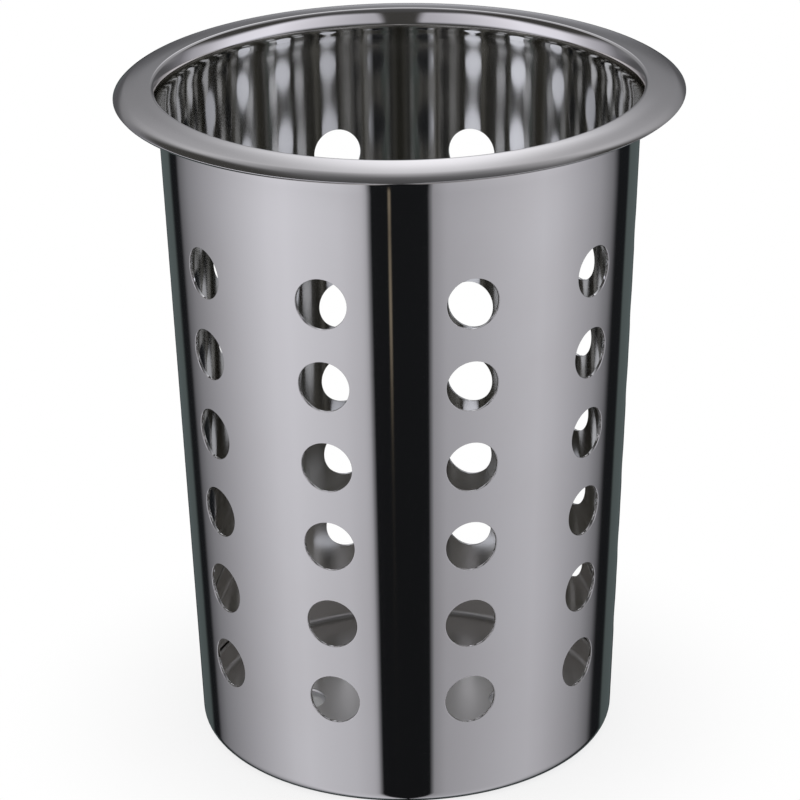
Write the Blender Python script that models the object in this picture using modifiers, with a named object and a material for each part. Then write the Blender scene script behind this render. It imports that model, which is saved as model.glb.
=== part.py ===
"""Perforated cutlery holder in polished stainless sheet.

A flanged rim ring sits on a tapered wall that is punched with rows of round holes, and a drained
base pan lies on the wall's turned-in foot. The axis is Z, the foot stands on Z = 0, and the front
faces -Y. Lengths are in metres.
"""
import math

import bmesh
import bpy
from mathutils import Matrix, Vector

# Overall form
overall_height = 0.148
rim_diameter = 0.120
mouth_diameter = 0.1019     # outside of the wall, measured where its line meets the top of the lip
foot_diameter = 0.0913      # outside of the wall, measured where its line meets the table
sheet_thickness = 0.0007
seat_gap = 0.0003           # clearance between two stampings that lie against each other

# Rim ring: lip, crowned flange and turned-down edge, with a collar that drops inside the wall
lip_radius = 0.0045
inner_flange_slope = math.radians(3.5)
outer_flange_slope = math.radians(15.0)
edge_radius = 0.0018
edge_skirt = 0.0003         # short upright strip below the rolled edge
collar_depth = 0.0060

# Wall, flared at the mouth where the rim ring sits on it
flare_turn = math.radians(75.0)
foot_corner_radius = 0.0030
foot_ring_width = 0.0055
wall_hole_diameter = 0.0110
wall_hole_pitch = 0.01815
lowest_row_height = 0.0249
hole_rows = 6
hole_columns = 10

# Base pan
pan_skirt_top = 0.0070
drain_hole_diameter = 0.0110
drain_circle_diameter = 0.0480
drain_hole_count = 6

# How finely curves are cut up
turns_steps = 70
lip_steps = 5
flare_steps = 4
crown_steps = 3
edge_steps = 4
corner_steps = 3
hole_sides = 16

cut_overrun = 0.0015
weld_distance = 0.00001
sharp_angle = math.radians(40.0)

wall_slope = (mouth_diameter - foot_diameter) / 2 / overall_height
wall_angle = math.atan(wall_slope)


def face_radius(height, depth):
    """Radius of the tapered face that lies a given depth inside the wall's outer face."""
    return foot_diameter / 2 + wall_slope * height - depth / math.cos(wall_angle)


def arc(centre, radius, start, end, steps):
    """Points of an arc in the profile plane, by angle from +X, both ends included."""
    points = []
    for step in range(steps + 1):
        angle = start + (end - start) * step / steps
        points.append((centre[0] + radius * math.cos(angle), centre[1] + radius * math.sin(angle)))
    return points


def corner_centre():
    """Centre that every rounded corner at the foot shares, so that the stampings nest."""
    height = foot_corner_radius
    return face_radius(height, foot_corner_radius), height


def lip_centre():
    """Centre of the rolled lip, which runs smoothly out of the collar and over the wall's flare."""
    height = overall_height - lip_radius
    collar_face = 2 * sheet_thickness + seat_gap
    return face_radius(height, collar_face - lip_radius), height


def rim_profile():
    """Visible face of the rim ring, from the collar's lower edge over the crowned flange and down."""
    lip_end = math.pi / 2 - inner_flange_slope
    lip = arc(lip_centre(), lip_radius, math.pi - wall_angle, lip_end, lip_steps)
    collar_bottom = lip[0][1] - collar_depth
    collar_face = 2 * sheet_thickness + seat_gap
    start = (face_radius(collar_bottom, collar_face), collar_bottom)
    crown_end = math.pi / 2 - outer_flange_slope
    edge_x = rim_diameter / 2 - edge_radius
    across = edge_x + edge_radius * math.cos(crown_end) - lip[-1][0]
    crown_radius = across / (math.cos(crown_end) - math.cos(lip_end))
    crown_x = lip[-1][0] - crown_radius * math.cos(lip_end)
    crown_z = lip[-1][1] - crown_radius * math.sin(lip_end)
    crown = arc((crown_x, crown_z), crown_radius, lip_end, crown_end, crown_steps)
    edge_z = crown[-1][1] - edge_radius * math.sin(crown_end)
    edge = arc((edge_x, edge_z), edge_radius, crown_end, 0, edge_steps)
    end = (rim_diameter / 2, edge_z - edge_skirt)
    return [start] + lip + crown[1:] + edge[1:] + [end]


def wall_profile():
    """Outer face of the wall, from the flare that nests under the lip down to the foot ring."""
    flare_radius = lip_radius - 2 * sheet_thickness - seat_gap
    flare_foot = math.pi - wall_angle
    flare = arc(lip_centre(), flare_radius, flare_foot - flare_turn, flare_foot, flare_steps)
    centre = corner_centre()
    corner = arc(centre, foot_corner_radius, -wall_angle, -math.pi / 2, corner_steps)
    ring_end = (centre[0] - foot_ring_width, 0)
    return flare + corner + [ring_end]


def pan_profile():
    """Under face of the base pan, from the top of its skirt to the drain hole in its middle."""
    depth = sheet_thickness + seat_gap
    radius = foot_corner_radius - depth
    corner = arc(corner_centre(), radius, -wall_angle, -math.pi / 2, corner_steps)
    return [(face_radius(pan_skirt_top, depth), pan_skirt_top)] + corner + [(drain_hole_diameter / 2, depth)]


def new_collection(name):
    collection = bpy.data.collections.new(name)
    bpy.context.scene.collection.children.link(collection)
    return collection


def steel(name, colour, roughness):
    material = bpy.data.materials.new(name)
    material.use_nodes = True
    shader = material.node_tree.nodes["Principled BSDF"]
    shader.inputs["Base Color"].default_value = (*colour, 1)
    shader.inputs["Metallic"].default_value = 1
    shader.inputs["Roughness"].default_value = roughness
    material.diffuse_color = (*colour, 1)
    return material


def turned_sheet(name, profile, collection, material):
    """A stamping: its visible face turned about Z, with the sheet's thickness behind it."""
    mesh = bpy.data.meshes.new(name)
    points = [(x, 0, z) for x, z in profile]
    mesh.from_pydata(points, [(i, i + 1) for i in range(len(points) - 1)], [])
    mesh.materials.append(material)
    stamping = bpy.data.objects.new(name, mesh)
    collection.objects.link(stamping)
    turn = stamping.modifiers.new("turn", "SCREW")
    turn.axis = "Z"
    turn.steps = turn.render_steps = turns_steps
    turn.use_merge_vertices = True
    turn.merge_threshold = weld_distance
    sheet = stamping.modifiers.new("sheet", "SOLIDIFY")
    sheet.thickness = sheet_thickness
    sheet.offset = -1
    sheet.use_even_offset = True
    return stamping


def punches(name, placings, diameter, collection):
    """One cutter made of round punches, each centred on the sheet and lying along its normal."""
    length = sheet_thickness + 2 * cut_overrun
    form = bmesh.new()
    for place, direction in placings:
        turn = Vector((0, 0, 1)).rotation_difference(direction).to_matrix().to_4x4()
        bmesh.ops.create_cone(form, cap_ends=True, segments=hole_sides, radius1=diameter / 2,
                              radius2=diameter / 2, depth=length,
                              matrix=Matrix.Translation(place) @ turn)
    mesh = bpy.data.meshes.new(name)
    form.to_mesh(mesh)
    form.free()
    cutter = bpy.data.objects.new(name, mesh)
    cutter.display_type = "WIRE"
    cutter.hide_render = True
    collection.objects.link(cutter)
    return cutter


def punch_through(stamping, cutter):
    cut = stamping.modifiers.new("punch", "BOOLEAN")
    cut.operation = "DIFFERENCE"
    cut.solver = "EXACT"
    cut.object = cutter


def wall_placings():
    """Rows and columns of the wall's holes, square to the tapered sheet and centred on it."""
    placings = []
    for row in range(hole_rows):
        height = lowest_row_height + row * wall_hole_pitch
        radius = face_radius(height, sheet_thickness / 2)
        for column in range(hole_columns):
            around = Matrix.Rotation(2 * math.pi * (column + 0.5) / hole_columns, 3, "Z")
            place = around @ Vector((0, -radius, height))
            outward = around @ Vector((0, -math.cos(wall_angle), -math.sin(wall_angle)))
            placings.append((place, outward))
    return placings


def drain_placings():
    """The ring of drain holes round the one in the middle of the pan."""
    middle = seat_gap + sheet_thickness + sheet_thickness / 2
    placings = []
    for number in range(drain_hole_count):
        around = Matrix.Rotation(2 * math.pi * number / drain_hole_count, 3, "Z")
        place = around @ Vector((drain_circle_diameter / 2, 0, middle))
        placings.append((place, Vector((0, 0, 1))))
    return placings


def settle(stamping):
    """Bake the modifiers into the mesh and shade it smooth, with the sheet's cut edges crisp."""
    graph = bpy.context.evaluated_depsgraph_get()
    mesh = bpy.data.meshes.new_from_object(stamping.evaluated_get(graph))
    stamping.modifiers.clear()
    stamping.data = mesh
    mesh.shade_smooth()
    mesh.set_sharp_from_angle(angle=sharp_angle)


for old in list(bpy.data.objects):
    bpy.data.objects.remove(old, do_unlink=True)

holder = new_collection("cutlery_holder")
cutters = new_collection("punches")

mirror_steel = steel("mirror_polished_steel", (0.67, 0.65, 0.62), 0.07)
lip_steel = steel("satin_rim_steel", (0.68, 0.66, 0.63), 0.12)
floor_steel = steel("dull_floor_steel", (0.61, 0.59, 0.56), 0.22)

rim_flange = turned_sheet("rim_flange", rim_profile(), holder, lip_steel)
perforated_wall = turned_sheet("perforated_wall", wall_profile(), holder, mirror_steel)
base_pan = turned_sheet("base_pan", pan_profile(), holder, floor_steel)

wall_punches = punches("wall_punches", wall_placings(), wall_hole_diameter, cutters)
drain_punches = punches("drain_punches", drain_placings(), drain_hole_diameter, cutters)
punch_through(perforated_wall, wall_punches)
punch_through(base_pan, drain_punches)

for stamping in (rim_flange, perforated_wall, base_pan):
    settle(stamping)
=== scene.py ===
import math

import bmesh
import bpy
from mathutils import Matrix, Vector


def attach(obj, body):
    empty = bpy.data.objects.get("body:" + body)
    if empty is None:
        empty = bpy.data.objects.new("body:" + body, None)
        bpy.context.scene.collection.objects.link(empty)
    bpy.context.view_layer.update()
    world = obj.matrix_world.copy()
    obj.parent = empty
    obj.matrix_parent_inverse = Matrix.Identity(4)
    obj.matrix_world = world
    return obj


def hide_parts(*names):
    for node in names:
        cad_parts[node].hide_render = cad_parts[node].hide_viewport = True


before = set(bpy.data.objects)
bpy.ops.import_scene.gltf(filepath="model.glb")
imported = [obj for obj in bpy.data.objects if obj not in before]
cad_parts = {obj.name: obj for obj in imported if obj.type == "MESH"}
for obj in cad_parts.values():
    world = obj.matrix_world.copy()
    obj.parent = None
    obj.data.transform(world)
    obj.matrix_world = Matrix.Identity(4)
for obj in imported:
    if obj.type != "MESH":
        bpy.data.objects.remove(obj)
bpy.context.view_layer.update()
print("frame loaded:", ", ".join(sorted(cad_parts)))

mm = 0.001
degree = math.pi / 180


# modelling helpers

modelling = {
    "weldWithin": 0.002 * mm,   # vertices closer than this are one
    "near": 0.01 * mm,          # how near a line counts as on it
    "onCircle": 0.001 * mm,     # the same for the edge of a hole
    "atSeam": 0.1 * mm,         # and for the seam under the lip, whose edges stay sharp
    "crease": 50,               # degrees; sharper edges stay crisp
    "edgeSegments": 3,
    "edgeProfile": 0.5,         # round
}


def selectNothing():
    bpy.ops.object.select_all(action="DESELECT")


def pick(*pieces):
    selectNothing()
    for piece in pieces:
        piece.select_set(True)
    bpy.context.view_layer.objects.active = pieces[0]


def enterEdit(piece):
    pick(piece)
    bpy.ops.object.mode_set(mode="EDIT")


def leaveEdit():
    bpy.ops.object.mode_set(mode="OBJECT")


# picks the vertices whose place passes the test, in edit mode
def selectWhere(piece, test):
    bpy.ops.mesh.select_all(action="DESELECT")
    bpy.ops.mesh.select_mode(type="VERT")
    form = bmesh.from_edit_mesh(piece.data)
    for vertex in form.verts:
        vertex.select = test(vertex.co)
    form.select_flush_mode()
    bmesh.update_edit_mesh(piece.data)


def settlePlace(piece):
    pick(piece)
    bpy.ops.object.transform_apply(location=True, rotation=True, scale=True)


# pulls the selected ring of edges along a list of (radius, height), one extrusion to each point
def pullRing(start, points):
    radius, height = start
    for nextRadius, nextHeight in points:
        bpy.ops.mesh.extrude_edges_move()
        share = nextRadius / radius
        bpy.ops.transform.resize(value=(share, share, 1), center_override=(0, 0, height))
        bpy.ops.transform.translate(value=(0, 0, nextHeight - height))
        radius, height = nextRadius, nextHeight


def turnProfile(name, profile, sides):
    selectNothing()
    radius, height = profile[0]
    bpy.ops.mesh.primitive_circle_add(vertices=sides, radius=radius, fill_type="NOTHING",
                                      location=(0, 0, height))
    piece = bpy.context.active_object
    piece.name = piece.data.name = name
    settlePlace(piece)
    enterEdit(piece)
    bpy.ops.mesh.select_all(action="SELECT")
    pullRing(profile[0], profile[1:])
    leaveEdit()
    return piece


# merges the doubles and makes all faces look the way that the face nearest to a point should
def faceOutwards(piece, near, outward):
    enterEdit(piece)
    bpy.ops.mesh.select_all(action="SELECT")
    bpy.ops.mesh.remove_doubles(threshold=modelling["weldWithin"])
    bpy.ops.mesh.normals_make_consistent(inside=False)
    leaveEdit()
    nearest = min(piece.data.polygons, key=lambda face: (face.center - Vector(near)).length)
    if nearest.normal.dot(Vector(outward)) < 0:
        enterEdit(piece)
        bpy.ops.mesh.select_all(action="SELECT")
        bpy.ops.mesh.flip_normals()
        leaveEdit()


def finishWith(piece, kind, **settings):
    pick(piece)
    modifier = piece.modifiers.new(kind.lower(), kind)
    for key, value in settings.items():
        setattr(modifier, key, value)
    bpy.ops.object.modifier_apply(modifier=modifier.name)


def thicken(piece, thickness):
    finishWith(piece, "SOLIDIFY", thickness=thickness, offset=-1, use_even_offset=True)


# rounds the cut edges of the sheet over, all but those that the test leaves sharp
def softenEdges(piece, width, keepSharp=lambda co: False):
    enterEdit(piece)
    bpy.ops.mesh.select_mode(type="EDGE")
    bpy.ops.mesh.select_all(action="DESELECT")
    bpy.ops.mesh.edges_select_sharp(sharpness=modelling["crease"] * degree)
    form = bmesh.from_edit_mesh(piece.data)
    for edge in form.edges:
        if edge.select and keepSharp(edge.verts[0].co):
            edge.select = False
    form.select_flush_mode()
    bmesh.update_edit_mesh(piece.data)
    bpy.ops.mesh.bevel(offset=width, segments=modelling["edgeSegments"], profile=modelling["edgeProfile"],
                       affect="EDGES", clamp_overlap=True)
    leaveEdit()


def shadeSmooth(piece):
    pick(piece)
    bpy.ops.object.shade_smooth_by_angle(angle=modelling["crease"] * degree)


# points from one angle to another, in degrees
def arc(centre, radius, start, end, steps):
    points = []
    for step in range(steps + 1):
        angle = (start + (end - start) * step / steps) * degree
        points.append((centre[0] + radius * math.cos(angle), centre[1] + radius * math.sin(angle)))
    return points


# how far a value has come from one bound to the other, from 0 to 1
def shareOf(value, low, high):
    return min(1, max(0, (value - low) / (high - low)))


# the cup's own taper

cup = {
    "height": 148 * mm,
    "mouthDiameter": 101.9 * mm,
    "footDiameter": 91.3 * mm,
    "sheet": 0.7 * mm,
    "cornerRadius": 3.0 * mm,
    "cornerSteps": 12,
    "plainHeight": 20 * mm,     # the wall's direction is read here, between two columns of holes
    "seamHeight": 142.8 * mm,   # the rim ring and the wall meet here, welded and polished flush
    # height in mm, and how many degrees the sheet leans out there
    "neck": [(132.0, 0.0), (136.0, 0.4), (139.3, 1.2), (139.9, 1.5), (140.4, 0.9), (141.5, -0.2),
             (142.7, -3.0), (143.3, -3.4), (143.6, -3.2)],
    "neckStep": 0.3,
    "swayStep": 0.02,           # the lean adds up in steps of this
    "swayWithin": 0.001,
    "cleanSides": 360,          # of the plain sheet that lends its normals
    "cleanPast": 1.0,           # and how far it runs on above the neck
}
cup["slope"] = (cup["mouthDiameter"] - cup["footDiameter"]) / 2 / cup["height"]
cup["tilt"] = math.degrees(math.atan(cup["slope"]))


# radius of the tapered face that lies a depth inside the wall's outer face
def wallRadius(height, depth=0.0):
    return cup["footDiameter"] / 2 + cup["slope"] * height - depth / math.cos(cup["tilt"] * degree)


# the sheet sways in and out by less than a tenth of a millimetre where it was drawn in under the lip
def neckLean(height):
    for (low, lowLean), (high, highLean) in zip(cup["neck"], cup["neck"][1:]):
        if height <= high:
            return lowLean + (highLean - lowLean) * (height - low) / (high - low)
    return cup["neck"][-1][1]


# outline of the neck between two heights in mm, as (radius, height)
def neckPoints(start, end, depth=0.0):
    steps = max(1, round((end - start) / cup["neckStep"]))
    sway, height, outline = 0.0, cup["neck"][0][0], []
    for number in range(steps + 1):
        place = start + (end - start) * number / steps
        while height < place - cup["swayWithin"]:
            step = min(cup["swayStep"], place - height)
            sway += step * math.tan(neckLean(height + step / 2) * degree)
            height += step
        outline.append((wallRadius(place * mm, depth) + sway * mm, place * mm))
    return outline


def faceWallOutwards(piece):
    height = cup["plainHeight"]
    faceOutwards(piece, (0, -wallRadius(height), height), (0, -1, 0))


# the clean turned sheet gives its normals to the same sheet with holes in it, so that the
# reflections run past the holes without a ripple
def borrowNormals(piece, profile, test):
    clean = turnProfile("cleanSheet", profile, cup["cleanSides"])
    faceWallOutwards(clean)
    thicken(clean, cup["sheet"])
    shadeSmooth(clean)
    group = piece.vertex_groups.new(name="sheetFaces")
    group.add([v.index for v in piece.data.vertices if test(v.co)], 1, "REPLACE")
    finishWith(piece, "DATA_TRANSFER", object=clean, use_loop_data=True,
               data_types_loops={"CUSTOM_NORMAL"}, loop_mapping="POLYINTERP_NEAREST",
               vertex_group="sheetFaces")
    piece.vertex_groups.remove(piece.vertex_groups["sheetFaces"])
    bpy.data.objects.remove(clean)


# wall with its punched holes

wallLook = {
    "holeDiameter": 11 * mm,
    "pitch": 18.15 * mm,
    "lowestRow": 24.9 * mm,
    "rows": 6,
    "columns": 10,
    "holeSides": 48,
    "ringsRoundHole": 5,
    "joinWithin": 0.005 * mm,   # the patches round the holes meet this closely
    "stretchAbove": (0.33, 0.67),   # where rings cross the plain sheet above the holes
    "stretchBelow": (0.25, 0.5, 0.75),
    "footRing": 5.5 * mm,
    "punchedEdge": 0.14 * mm,
    "faceDepth": 0.02 * mm,     # nearer than this to a face of the sheet counts as on it
    "cornerTop": 4 * mm,        # the foot's corner keeps its own normals up to here
}


def footOutline():
    corner = cup["cornerRadius"]
    cornerCentre = (wallRadius(corner, corner), corner)
    foot = arc(cornerCentre, corner, -cup["tilt"], -90, cup["cornerSteps"])
    foot.append((cornerCentre[0] - wallLook["footRing"] / 2, 0.0))
    foot.append((cornerCentre[0] - wallLook["footRing"], 0.0))
    return foot


# one hole in its own patch of flat sheet, then rolled to the cup's taper
def holePatch(row):
    height = wallLook["lowestRow"] + row * wallLook["pitch"]
    rolledRadius = wallRadius(height)
    width = 2 * math.pi * rolledRadius / wallLook["columns"]
    holeRadius = wallLook["holeDiameter"] / 2
    perSide = wallLook["holeSides"] // 4
    selectNothing()
    bpy.ops.mesh.primitive_circle_add(vertices=wallLook["holeSides"], radius=holeRadius,
                                      fill_type="NOTHING", location=(0, 0, 0))
    patch = bpy.context.active_object
    enterEdit(patch)
    bpy.ops.mesh.select_all(action="DESELECT")
    bpy.ops.mesh.primitive_grid_add(x_subdivisions=perSide, y_subdivisions=perSide, size=1)
    bpy.ops.transform.resize(value=(width, wallLook["pitch"], 1), center_override=(0, 0, 0))
    halfWide = width / 2 - modelling["near"]
    halfHigh = wallLook["pitch"] / 2 - modelling["near"]

    def onHole(co):
        return abs(co.xy.length - holeRadius) < modelling["onCircle"]

    # only the grid's border and the hole stay, and are bridged
    selectWhere(patch, lambda co: abs(co.x) < halfWide and abs(co.y) < halfHigh and not onHole(co))
    bpy.ops.mesh.delete(type="VERT")
    selectWhere(patch, lambda co: abs(co.x) > halfWide or abs(co.y) > halfHigh or onHole(co))
    bpy.ops.mesh.select_mode(type="EDGE")
    bpy.ops.mesh.delete(type="ONLY_FACE")
    bpy.ops.mesh.select_all(action="SELECT")
    bpy.ops.mesh.bridge_edge_loops(number_cuts=wallLook["ringsRoundHole"] - 1, interpolation="LINEAR")
    leaveEdit()
    for vertex in patch.data.vertices:
        turn = vertex.co.x / rolledRadius
        z = height + vertex.co.y
        radius = wallRadius(z)
        vertex.co = (radius * math.sin(turn), -radius * math.cos(turn), z)
    return patch


# one column of patches, copied round the axis
def buildSleeve():
    column = holePatch(0)
    strips = [column] + [holePatch(row) for row in range(1, wallLook["rows"])]
    pick(*strips)
    bpy.ops.object.join()
    turned = []
    for number in range(wallLook["columns"]):
        copy = column.copy()
        copy.data = column.data.copy()
        bpy.context.collection.objects.link(copy)
        pick(copy)
        bpy.ops.transform.rotate(value=2 * math.pi * (number + 0.5) / wallLook["columns"],
                                 orient_axis="Z", center_override=(0, 0, 0))
        settlePlace(copy)
        turned.append(copy)
    bpy.data.objects.remove(column)
    pick(*turned)
    bpy.ops.object.join()
    sleeve = turned[0]
    enterEdit(sleeve)
    bpy.ops.mesh.select_all(action="SELECT")
    bpy.ops.mesh.remove_doubles(threshold=wallLook["joinWithin"])
    leaveEdit()
    return sleeve


def buildWall():
    wall = buildSleeve()
    wall.name = wall.data.name = "wallSheet"
    foot = footOutline()
    seam = cup["seamHeight"]
    topEdge = wallLook["lowestRow"] + (wallLook["rows"] - 0.5) * wallLook["pitch"]
    lowEdge = wallLook["lowestRow"] - 0.5 * wallLook["pitch"]
    neckBottom, neckTop = cup["neck"][0][0], cup["neck"][-1][0]
    neckStarts = neckBottom * mm

    # up to the seam, then down and round the foot
    enterEdit(wall)
    selectWhere(wall, lambda co: co.z > topEdge - modelling["near"])
    bpy.ops.mesh.select_mode(type="EDGE")
    plain = [topEdge + (neckStarts - topEdge) * share for share in wallLook["stretchAbove"]]
    neck = neckPoints(neckBottom, seam / mm)
    pullRing((wallRadius(topEdge), topEdge), [(wallRadius(z), z) for z in plain] + neck)
    selectWhere(wall, lambda co: co.z < lowEdge + modelling["near"])
    bpy.ops.mesh.select_mode(type="EDGE")
    stretch = [lowEdge + (foot[0][1] - lowEdge) * share for share in wallLook["stretchBelow"]]
    pullRing((wallRadius(lowEdge), lowEdge), [(wallRadius(z), z) for z in stretch] + foot)
    leaveEdit()

    faceWallOutwards(wall)
    thicken(wall, cup["sheet"])
    softenEdges(wall, wallLook["punchedEdge"], lambda co: co.z > seam - modelling["atSeam"])
    shadeSmooth(wall)

    def onSheetFace(co):
        depth = (wallRadius(co.z) - co.xy.length) * math.cos(cup["tilt"] * degree)
        outer = depth < wallLook["faceDepth"]
        inner = depth > cup["sheet"] - wallLook["faceDepth"]
        return co.z > wallLook["cornerTop"] and (outer or inner or co.z > neckStarts)

    above = neckPoints(neckBottom, neckTop + cup["cleanPast"])
    borrowNormals(wall, above[::-1] + foot, onSheetFace)
    return wall


# rim ring

rimLook = {
    "diameter": 119.94 * mm,
    "lipRadii": (6.3 * mm, 1.0 * mm),   # the lip opens in a wide curve, then turns over in a tight one
    "lipTurnsAt": 38,
    "lipWidth": 2 * mm,         # the back's lift begins this far outside the wall
    "flangeSlopes": (3.5, 13),  # the flange is crowned: its slope at the lip and where the edge begins
    "edgeRadius": 5.0 * mm,     # the edge turns down in a wide soft roll
    "edgeEnds": 45,             # and stops this far above level
    "steps": {"wide": 20, "tight": 14, "flange": 10, "edge": 16},
    "sides": 240,
    "rolledEdge": 0.07 * mm,
    "uneven": 0.22,             # the spun edge hangs a little deeper to the left than to the right
    "unevenFrom": 57.3 * mm,
    "unevenWithin": 1 / 3,      # in full from this share of the way out
    "frontDrop": 0.25 * mm,     # the ring sits a trace lower in front, with a flatter flange at the back
    "backLift": 0.35 * mm,
    "dropAboveSeam": (0.5 * mm, 4.5 * mm),  # the drop grows over these heights, so that the seam stays level
}


# section of the ring's visible face: neck, rolled lip, crowned flange and the edge that turns down
def rimOutline():
    first, last = rimLook["flangeSlopes"]
    wide, tight = rimLook["lipRadii"]
    turn = rimLook["lipTurnsAt"]
    steps = rimLook["steps"]
    begins = cup["tilt"] + cup["neck"][-1][1]
    tightZ = cup["height"] - tight
    wideZ = tightZ - (wide - tight) * math.sin(turn * degree)
    startZ = wideZ + wide * math.sin(begins * degree)
    neck = neckPoints(cup["seamHeight"] / mm, startZ / mm, cup["sheet"])
    wideX = neck[-1][0] + wide * math.cos(begins * degree)
    tightX = wideX - (wide - tight) * math.cos(turn * degree)
    points = arc((wideX, wideZ), wide, 180 - begins, 180 - turn, steps["wide"])
    points += arc((tightX, tightZ), tight, 180 - turn, 90 - first, steps["tight"])[1:]
    roll = rimLook["edgeRadius"]
    edgeX = rimLook["diameter"] / 2 - roll * math.cos(rimLook["edgeEnds"] * degree)
    stride = (edgeX + roll * math.sin(last * degree) - points[-1][0]) / steps["flange"]
    for number in range(steps["flange"]):
        slope = (first + (last - first) * (number + 0.5) / steps["flange"]) * degree
        radius, height = points[-1]
        points.append((radius + stride, height - stride * math.tan(slope)))
    edgeZ = points[-1][1] - roll * math.cos(last * degree)
    edge = arc((edgeX, edgeZ), roll, 90 - last, rimLook["edgeEnds"], steps["edge"])
    return neck[:-1] + points + edge[1:]


# what the spinning left: an edge that hangs unevenly, and a ring that isn't quite level
def unlevel(rim):
    inner, outer = rimLook["unevenFrom"], rimLook["diameter"] / 2
    lip = wallRadius(cup["height"]) + rimLook["lipWidth"]
    dropFrom, dropTo = (cup["seamHeight"] + height for height in rimLook["dropAboveSeam"])
    edgeTop = max(v.co.z for v in rim.data.vertices if v.co.xy.length > inner)
    for vertex in rim.data.vertices:
        place = vertex.co
        radius = place.xy.length
        if radius > inner:
            reach = shareOf(radius, inner, inner + (outer - inner) * rimLook["unevenWithin"])
            stretch = 1 - rimLook["uneven"] * reach * place.x / radius
            place.z = edgeTop - (edgeTop - place.z) * stretch
        away = place.y / radius
        outward = shareOf(radius, lip, outer)
        above = min(1, shareOf(place.z, dropFrom, dropTo) + outward)
        lift = rimLook["backLift"] * (1 + away) / 2 * outward
        place.z += lift - rimLook["frontDrop"] * (1 - away) / 2 * above


def buildRim():
    rim = turnProfile("rimRing", rimOutline(), rimLook["sides"])
    flangeMiddle = (wallRadius(cup["height"]) + rimLook["diameter"] / 2) / 2
    faceOutwards(rim, (0, -flangeMiddle, cup["height"]), (0, 0, 1))
    thicken(rim, cup["sheet"])
    softenEdges(rim, rimLook["rolledEdge"], lambda co: co.z < cup["seamHeight"] + modelling["atSeam"])
    unlevel(rim)
    shadeSmooth(rim)
    return rim


# base pan with its drain holes

panLook = {
    "skirtTop": 7.0 * mm,
    "gap": 0.3 * mm,
    "flatRadius": 38 * mm,
    "holeDiameter": 11 * mm,
    "holeCircle": 48 * mm,
    "holes": 6,
    "holeSides": 64,
    "punch": {"length": 6 * mm, "height": 1 * mm},
    "sides": 120,
    "punchedEdge": 0.12 * mm,
    "normalWeight": 80,
}


def panOutline():
    depth = cup["sheet"] + panLook["gap"]
    corner = cup["cornerRadius"]
    centre = (wallRadius(corner, corner), corner)
    bend = arc(centre, corner - depth, -cup["tilt"], -90, cup["cornerSteps"])
    top = (wallRadius(panLook["skirtTop"], depth), panLook["skirtTop"])
    halfway = ((top[0] + bend[0][0]) / 2, (top[1] + bend[0][1]) / 2)
    return [top, halfway] + bend + [(panLook["flatRadius"], depth)]


# one round punch for each drain hole, joined
def drainPunches():
    height = panLook["punch"]["height"]
    reach = panLook["holeCircle"] / 2
    places = [(0.0, 0.0)]
    for number in range(panLook["holes"]):
        turn = 2 * math.pi * number / panLook["holes"]
        places.append((reach * math.cos(turn), reach * math.sin(turn)))
    selectNothing()
    bpy.ops.mesh.primitive_cylinder_add(vertices=panLook["holeSides"], radius=panLook["holeDiameter"] / 2,
                                        depth=panLook["punch"]["length"], location=(*places[0], height))
    punch = bpy.context.active_object
    copies = [punch]
    for x, y in places[1:]:
        copy = punch.copy()
        copy.data = punch.data.copy()
        copy.location = (x, y, height)
        bpy.context.collection.objects.link(copy)
        copies.append(copy)
    pick(*copies)
    bpy.ops.object.join()
    return punch


def buildPan():
    pan = turnProfile("basePan", panOutline(), panLook["sides"])
    enterEdit(pan)
    selectWhere(pan, lambda co: co.xy.length < panLook["flatRadius"] + modelling["near"])
    bpy.ops.mesh.select_mode(type="EDGE")
    bpy.ops.mesh.edge_face_add()
    leaveEdit()
    faceOutwards(pan, (0, 0, 0), (0, 0, -1))
    thicken(pan, cup["sheet"])
    punch = drainPunches()
    finishWith(pan, "BOOLEAN", operation="DIFFERENCE", solver="EXACT", object=punch)
    bpy.data.objects.remove(punch)
    softenEdges(pan, panLook["punchedEdge"])
    shadeSmooth(pan)
    finishWith(pan, "WEIGHTED_NORMAL", mode="FACE_AREA", weight=panLook["normalWeight"], keep_sharp=False)
    return pan


# shader maths

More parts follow.
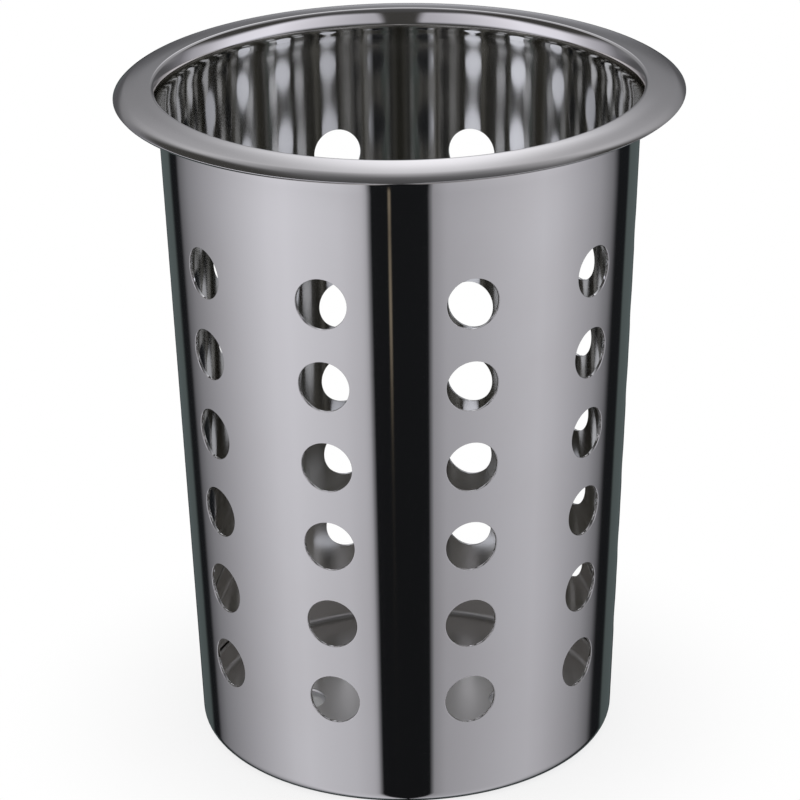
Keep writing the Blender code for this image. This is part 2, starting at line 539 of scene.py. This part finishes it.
class Wire:
    def __init__(self, tree, socket=None):
        self.tree = tree
        self.socket = socket

    # any node: its type, its settings, and the values or wires of its sockets
    def node(self, kind, settings=None, values=None, out=0):
        new = self.tree.nodes.new(kind)
        for key, value in (settings or {}).items():
            if key == "stops":
                elements = new.color_ramp.elements
                elements[0].position, elements[1].position = value[0][0], value[-1][0]
                for place, colour in value[1:-1]:
                    elements.new(place)
                for element, (place, colour) in zip(elements, value):
                    element.color = (*colour, 1)
            else:
                setattr(new, key, value)
        for key, value in (values or {}).items():
            if isinstance(value, Wire):
                self.tree.links.new(value.socket, new.inputs[key])
            else:
                new.inputs[key].default_value = value
        return Wire(self.tree, new.outputs[out]) if len(new.outputs) else None

    def maths(self, operation, *others):
        values = {0: self}
        values.update({place + 1: other for place, other in enumerate(others)})
        return self.node("ShaderNodeMath", {"operation": operation}, values)

    def __add__(self, other):
        return self.maths("ADD", other)

    def __sub__(self, other):
        return self.maths("SUBTRACT", other)

    def __mul__(self, other):
        return self.maths("MULTIPLY", other)

    def __truediv__(self, other):
        return self.maths("DIVIDE", other)

    def __rsub__(self, other):
        return self.node("ShaderNodeMath", {"operation": "SUBTRACT"}, {0: other, 1: self})

    __radd__ = __add__
    __rmul__ = __mul__

    # the three parts of a vector
    def parts(self):
        split = self.tree.nodes.new("ShaderNodeSeparateXYZ")
        self.tree.links.new(self.socket, split.inputs[0])
        return [Wire(self.tree, split.outputs[axis]) for axis in "XYZ"]

    # 0 below the first value, 1 above the second, smooth between them
    def step(self, low, high):
        return self.node("ShaderNodeMapRange", {"interpolation_type": "SMOOTHSTEP"},
                         {"Value": self, "From Min": low, "From Max": high, "To Min": 0, "To Max": 1})

    # 1 between low and high, with soft ends
    def band(self, low, high, soft):
        return self.step(low - soft, low + soft) * (1 - self.step(high - soft, high + soft))

    # colours along an angle, with their stops in degrees from -180 to 180
    def turnRamp(self, stops):
        places = [(place / 360 + 0.5, colour) for place, colour in stops]
        return self.node("ShaderNodeValToRGB", {"stops": places}, {"Fac": self / 360 + 0.5})

    # noise at this place, from 0 to 1
    def noise(self, scale, detail, roughness):
        return self.node("ShaderNodeTexNoise", {"noise_dimensions": "3D"},
                         {"Vector": self, "Scale": scale, "Detail": detail, "Roughness": roughness},
                         out="Fac")

    # this mask goes from one colour to the other
    def between(self, first, second):
        return self.node("ShaderNodeMix", {"data_type": "RGBA"}, {0: self, 6: first, 7: second}, out=2)


def grey(level, tint=(1.0, 1.0, 1.0)):
    return tuple(level * part for part in tint)


# a new tree for a material or a world, emptied
def emptyTree(owner):
    owner.use_nodes = True
    owner.node_tree.nodes.clear()
    return Wire(owner.node_tree)


# steel finishes

finishes = {
    "mirrorWallSteel": {
        "colour": (0.675, 0.65, 0.615), "inside": (0.66, 0.655, 0.63), "dull": (0.64, 0.61, 0.57),
        "roughness": 0.065, "flangeRoughness": 0.065, "insideRoughness": 0.064,
        "spread": 0.03, "lines": 0.12, "grain": 1.0,
    },
    "satinRimSteel": {
        "colour": (0.675, 0.65, 0.615), "inside": (0.66, 0.655, 0.63), "dull": (0.64, 0.61, 0.57),
        "roughness": 0.065, "flangeRoughness": 0.12, "insideRoughness": 0.03,
        "spread": 0.03, "lines": 0.12, "grain": 0.0,
    },
    "rolledPanSteel": {
        "colour": (0.64, 0.62, 0.585), "inside": (0.64, 0.62, 0.585), "dull": (0.56, 0.54, 0.505),
        "roughness": 0.36, "flangeRoughness": 0.36, "insideRoughness": 0.36,
        "spread": 0.08, "lines": 0.4, "grain": 0.0,
    },
}

# what the three finishes share
polish = {
    "linesAcross": 2600,        # polishing lines run round the cup: quick across it
    "linesAlong": 22,           # and nearly even round the axis
    "lines": {"scale": 1, "detail": 4, "roughness": 0.6},
    "lineHeight": 0.004 * mm,
    "lineShare": 0.6,           # how much they count in the roughness
    # slow clouding from the buffing wheel and from handling
    "clouds": {"scale": 34, "detail": 5, "roughness": 0.55},
    "dullClouds": (0.35, 0.75),
    "dullShare": 0.5,
    "flangeFrom": (53.5 * mm, 56.5 * mm),   # radii over which the flange's finish sets in
    "insideDepth": (0.2 * mm, 0.5 * mm),    # depths in the sheet where the outside turns to the inside
    "insideEnds": (144 * mm, 146 * mm),
    "insideCalm": 0.7,          # how much less the inside varies
    "grainTurn": 0.25,          # of a turn, so that highlights spread along the height
}


def steel(name):
    look = finishes[name]
    material = bpy.data.materials.new(name)
    start = emptyTree(material)
    place = start.node("ShaderNodeTexCoord", out="Object")
    x, y, z = place.parts()
    radius = (x * x + y * y).maths("SQRT")

    drawnOut = start.node("ShaderNodeCombineXYZ",
                          values={0: x * polish["linesAlong"], 1: y * polish["linesAlong"],
                                  2: (z + radius) * polish["linesAcross"]})
    lines = drawnOut.noise(**polish["lines"])
    clouds = place.noise(**polish["clouds"])

    flange = radius.step(*polish["flangeFrom"])
    faceAt = z * cup["slope"] + cup["footDiameter"] / 2
    inside = (faceAt - radius).step(*polish["insideDepth"]) * (1 - z.step(*polish["insideEnds"]))
    polished = inside.between((*look["colour"], 1), (*look["inside"], 1))
    dulled = clouds.step(*polish["dullClouds"]) * polish["dullShare"] * (1 - inside)
    colour = dulled.between(polished, (*look["dull"], 1))
    worn = (clouds - 0.5) + (lines - 0.5) * polish["lineShare"]
    roughness = (look["roughness"] + worn * look["spread"] * (1 - inside * polish["insideCalm"])
                 + flange * (look["flangeRoughness"] - look["roughness"])
                 + inside * (look["insideRoughness"] - look["roughness"]))
    relief = start.node("ShaderNodeBump",
                        values={"Strength": look["lines"], "Distance": polish["lineHeight"], "Height": lines},
                        out="Normal")
    shader = start.node("ShaderNodeBsdfPrincipled",
                        values={"Base Color": colour, "Metallic": 1.0, "Roughness": roughness,
                                "Anisotropic": look["grain"], "Anisotropic Rotation": polish["grainTurn"],
                                "Normal": relief})
    start.node("ShaderNodeOutputMaterial", values={"Surface": shader})
    return material


# studio: the lamps and cards that the steel mirrors, by their angles in degrees

studio = {
    "faces": 1.2,               # the lamps are set square to the camera, this far round to the right
    "black": (0.011, 0.012, 0.014),
    "horizon": (-6, 0),         # below it stand the side panels, above it the upper ones

    # round the cup: left is minus, and 0 is straight in front
    "panelTint": (1.0, 1.02, 1.15),
    "sidePanels": [(-144.5, 0.0), (-136.5, 0.0), (-133, 0.15), (-124, 0.28), (-100, 0.50), (-82, 0.68),
                   (-68, 0.82), (-58, 0.86), (-30, 0.75), (-20, 0.65), (-17.2, 0.56), (-14.3, 0.0),
                   (13.4, 0.0), (14.8, 0.38), (22, 0.51), (36, 0.57), (62, 0.68), (73, 0.71), (82, 0.66),
                   (112, 0.38), (124, 0.20), (130, 0.0), (142.5, 0.0)],
    "room": (0.09, 0.112, 0.115),
    "roomStarts": (-148.5, 145.5),
    "roomEnds": (-171, 171),
    "roomFade": 3.6,
    # a faint warm strip in the dark gap in front: from, to and how soft its ends are
    "gapStrip": {"colour": (0.34, 0.29, 0.225), "across": (-6.1, -4.9, 0.5), "up": (-27.2, -24.0, 1.0)},

    # behind the cup, by height: the lamp on its axis, and the cards beside that
    "rear": {"aside": (126, 148), "top": (60, 78), "core": (0.0, 0.17)},
    "backTint": (1.0, 1.02, 1.12),      # of the light over the top, too
    "backLight": [(-10, 0.62), (0, 0.52), (6, 0.35), (13, 0.19), (19, 0.30), (27, 1.27), (35, 1.14),
                  (42, 0.88), (48, 0.68), (57, 0.51), (67, 0.36)],
    "behind": [(-22, 0.10), (-9, 0.12), (8, 0.10), (12, 0.14), (14.5, 0.25), (17, 0.27), (22, 0.30),
               (28, 0.40), (35, 0.47), (45, 0.60), (52, 0.46), (60, 0.34), (68, 0.20)],

    # over the top of the cup: 0 is the horizon in front, 90 straight up and 180 the horizon behind
    "overhead": [(75, 0.09), (90, 0.12), (101, 0.17), (111, 0.30), (119, 0.42)],
    "overheadFrom": (46, 60),
    "leftCorner": {"across": (-0.55, -0.25), "aside": (118, 145)},  # this stays dark

    # in front, by the angle to either side of the camera
    "frontTint": (1.0, 1.01, 1.16),
    "frontPanels": [(5, 0.50), (20, 0.60), (45, 0.84), (65, 1.08), (88, 0.98), (105, 0.62), (118, 0.45),
                    (128, 0.22), (150, 0.15)],
    "frontFrom": (3, 14),       # heights over which the panels begin
    "frontTo": (44, 56),        # and end
    "frontLift": {"aside": (35, 105), "by": 24, "fromShare": 0.4},  # they sink towards the sides
    "gapAbove": (0.11, 0.19),   # and leave a dark gap over the camera
    "frontDark": 0.06,

    "fall": {"up": (-34, -22), "strength": (0.84, 1.03)},   # the light weakens towards the floor
}


# grey levels with a tint, at their angles
def tinted(stops, tint):
    return [(place, grey(level, studio[tint])) for place, level in stops]


# the panels at the sides, the dim room beyond them and the black behind
def sideStops():
    room, black = studio["room"], studio["black"]
    leftEnd, rightEnd = studio["roomEnds"]
    leftStart, rightStart = studio["roomStarts"]
    panels = [(place, grey(level, studio["panelTint"]) if level else black)
              for place, level in studio["sidePanels"]]
    left = [(-180, black), (leftEnd, black), (leftEnd + studio["roomFade"], room), (leftStart, room)]
    right = [(rightStart, room), (rightEnd - studio["roomFade"], room), (rightEnd, black)]
    return left + panels + right


def buildStudio():
    world = bpy.data.worlds.new("softboxStudio")
    bpy.context.scene.world = world
    start = emptyTree(world)
    world.cycles.sampling_method = "NONE"
    x, y, z = start.node("ShaderNodeTexCoord", out="Generated").parts()
    azimuth = x.maths("ARCTAN2", 0 - y) / degree - studio["faces"]
    elevation = z.maths("ARCSINE") / degree
    pitch = z.maths("ARCTAN2", 0 - y) / degree
    aside = azimuth.maths("ABSOLUTE")
    offAxis = x.maths("ABSOLUTE")

    strip = studio["gapStrip"]
    inStrip = azimuth.band(*strip["across"]) * elevation.band(*strip["up"])
    around = inStrip.between(azimuth.turnRamp(sideStops()), (*strip["colour"], 1))

    # the upper panels stand between a dark band at the horizon and the dark overhead
    lift = aside.step(*studio["frontLift"]["aside"]) * studio["frontLift"]["by"]
    sunk = elevation + lift * studio["frontLift"]["fromShare"]
    upper = sunk.step(*studio["frontFrom"]) * offAxis.step(*studio["gapAbove"])
    upper = upper * (1 - (elevation + lift).step(*studio["frontTo"]))
    frontPanels = aside.turnRamp(tinted(studio["frontPanels"], "frontTint"))
    above = upper.between((*grey(studio["frontDark"]), 1), frontPanels)

    corner = studio["leftCorner"]
    leftCorner = (1 - x.step(*corner["across"])) * (1 - aside.step(*corner["aside"]))
    overCup = elevation.step(*studio["overheadFrom"]) * (1 - leftCorner)
    above = overCup.between(above, pitch.turnRamp(tinted(studio["overhead"], "backTint")))
    lit = elevation.step(*studio["horizon"]).between(around, above)

    rear = studio["rear"]
    backLight = elevation.turnRamp(tinted(studio["backLight"], "backTint"))
    behind = elevation.turnRamp(tinted(studio["behind"], "backTint"))
    back = offAxis.step(*rear["core"]).between(backLight, behind)
    upright = elevation.step(*studio["horizon"]) * (1 - elevation.step(*rear["top"]))
    lit = (aside.step(*rear["aside"]) * upright).between(lit, back)

    low, high = studio["fall"]["up"]
    weak, full = studio["fall"]["strength"]
    fall = start.node("ShaderNodeMapRange", values={"Value": elevation, "From Min": low, "From Max": high,
                                                    "To Min": weak, "To Max": full})
    # only reflections show the studio, and the backdrop is plain white
    glossy = start.node("ShaderNodeLightPath", out="Is Glossy Ray")
    seen = glossy.between((1, 1, 1, 1), lit)
    strength = 1 + glossy * (fall - 1)
    background = start.node("ShaderNodeBackground", values={"Color": seen, "Strength": strength})
    start.node("ShaderNodeOutputWorld", values={"Surface": background})


floorLook = {
    "radius": 3.0,
    "sides": 96,
    "colour": 0.93,
    "shadow": (47 * mm, 95 * mm),   # it fades out between these distances from the axis
    "shadowDepth": 0.24,
    "underCup": (38 * mm, 40 * mm),     # within these the card isn't whitened
}


# a pale card that the camera sees as white, but for a faint shadow round the foot
def buildFloor():
    selectNothing()
    bpy.ops.mesh.primitive_circle_add(vertices=floorLook["sides"], radius=floorLook["radius"],
                                      fill_type="NGON", location=(0, 0, 0))
    floor = bpy.context.active_object
    floor.name = floor.data.name = "studioFloor"
    material = bpy.data.materials.new("paleFloor")
    start = emptyTree(material)
    place = start.node("ShaderNodeTexCoord", out="Object")
    distance = start.node("ShaderNodeVectorMath", {"operation": "LENGTH"}, {0: place}, out="Value")
    far = distance.step(*floorLook["shadow"])
    camera = start.node("ShaderNodeLightPath", out="Is Camera Ray")
    card = start.node("ShaderNodeBsdfDiffuse", values={"Color": (*grey(floorLook["colour"]), 1)})
    white = start.node("ShaderNodeEmission", values={"Color": (1, 1, 1, 1), "Strength": 1.0})
    shown = (1 - (1 - far) * floorLook["shadowDepth"]) * camera * distance.step(*floorLook["underCup"])
    mixed = start.node("ShaderNodeMixShader", values={0: shown, 1: card, 2: white})
    start.node("ShaderNodeOutputMaterial", values={"Surface": mixed})
    floor.data.materials.append(material)
    floor.visible_glossy = False


# camera

cameraLook = {
    "aim": (0.0, 0.0, 74.88 * mm),
    "distance": 741.9 * mm,
    "elevation": 22.91,
    "azimuth": 1.2156,
    "roll": -0.7305,
    "lens": 153.4,
    "sensor": 36,
    "shift": -0.00405,
    "clip": (0.01, 20),
}


def buildCamera():
    data = bpy.data.cameras.new("photoCamera")
    data.lens = cameraLook["lens"]
    data.sensor_width = cameraLook["sensor"]
    data.shift_x = cameraLook["shift"]
    data.clip_start, data.clip_end = cameraLook["clip"]
    camera = bpy.data.objects.new("photoCamera", data)
    bpy.context.scene.collection.objects.link(camera)
    turn, rise = cameraLook["azimuth"] * degree, cameraLook["elevation"] * degree
    back = Vector((math.sin(turn) * math.cos(rise), -math.cos(turn) * math.cos(rise), math.sin(rise)))
    aim = Vector(cameraLook["aim"])
    look = (-back).to_track_quat("-Z", "Y").to_matrix() @ Matrix.Rotation(cameraLook["roll"] * degree, 3, "Z")
    camera.matrix_world = Matrix.Translation(aim + back * cameraLook["distance"]) @ look.to_4x4()
    bpy.context.scene.camera = camera


# assembly

def dress(piece, node, finish):
    piece.data.materials.clear()
    piece.data.materials.append(steel(finish))
    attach(piece, "root")
    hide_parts(node)
    print(piece.name, "built:", len(piece.data.polygons), "faces")


dress(buildWall(), "perforated_wall", "mirrorWallSteel")
dress(buildRim(), "rim_flange", "satinRimSteel")
dress(buildPan(), "base_pan", "rolledPanSteel")

buildStudio()
buildFloor()
buildCamera()
print("studio built")

bpy.context.scene.view_settings.view_transform = "Standard"

# the light goes to and fro between the polished walls many times before it leaves the cup
lightBounces = {"most": 48, "least": 16}
cycles = bpy.context.scene.cycles
cycles.max_bounces = cycles.glossy_bounces = lightBounces["most"]
cycles.min_light_bounces = lightBounces["least"]
